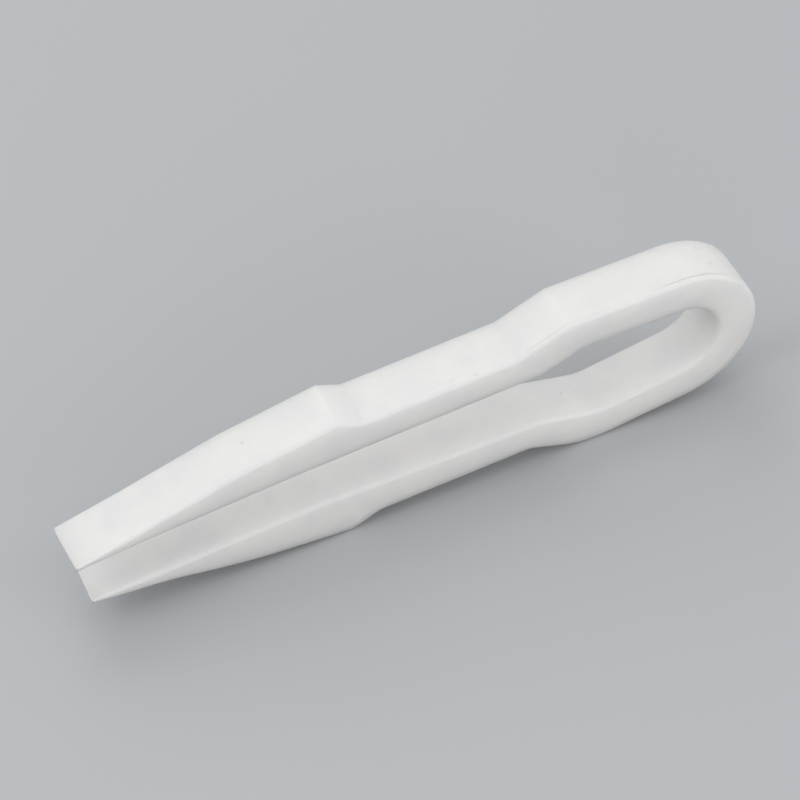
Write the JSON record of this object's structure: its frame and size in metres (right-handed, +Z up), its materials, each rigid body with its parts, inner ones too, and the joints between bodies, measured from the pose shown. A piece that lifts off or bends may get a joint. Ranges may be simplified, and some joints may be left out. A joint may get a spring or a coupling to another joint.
{
  "type": "ptfe tweezers",
  "caption": "White PTFE tweezers cut from thick sheet: rounded bow, cranked spring arms with shouldered grips, and wedges down to thin straight-cut tips.",
  "frame": {"origin": "on the surface it stands on, under the middle of its length and width", "axes": "+Z up through both arms as it stands on its lower arm, +X along it from the tips to the bow, -Y out of the front face"},
  "size_m": [0.1508, 0.0116, 0.0387],
  "materials": {
    "ptfe": "milled and hand-softened white PTFE, satin, faintly translucent"
  },
  "bodies": {
    "root": {"tweezers_body": "ptfe"}
  },
  "joints": []
}
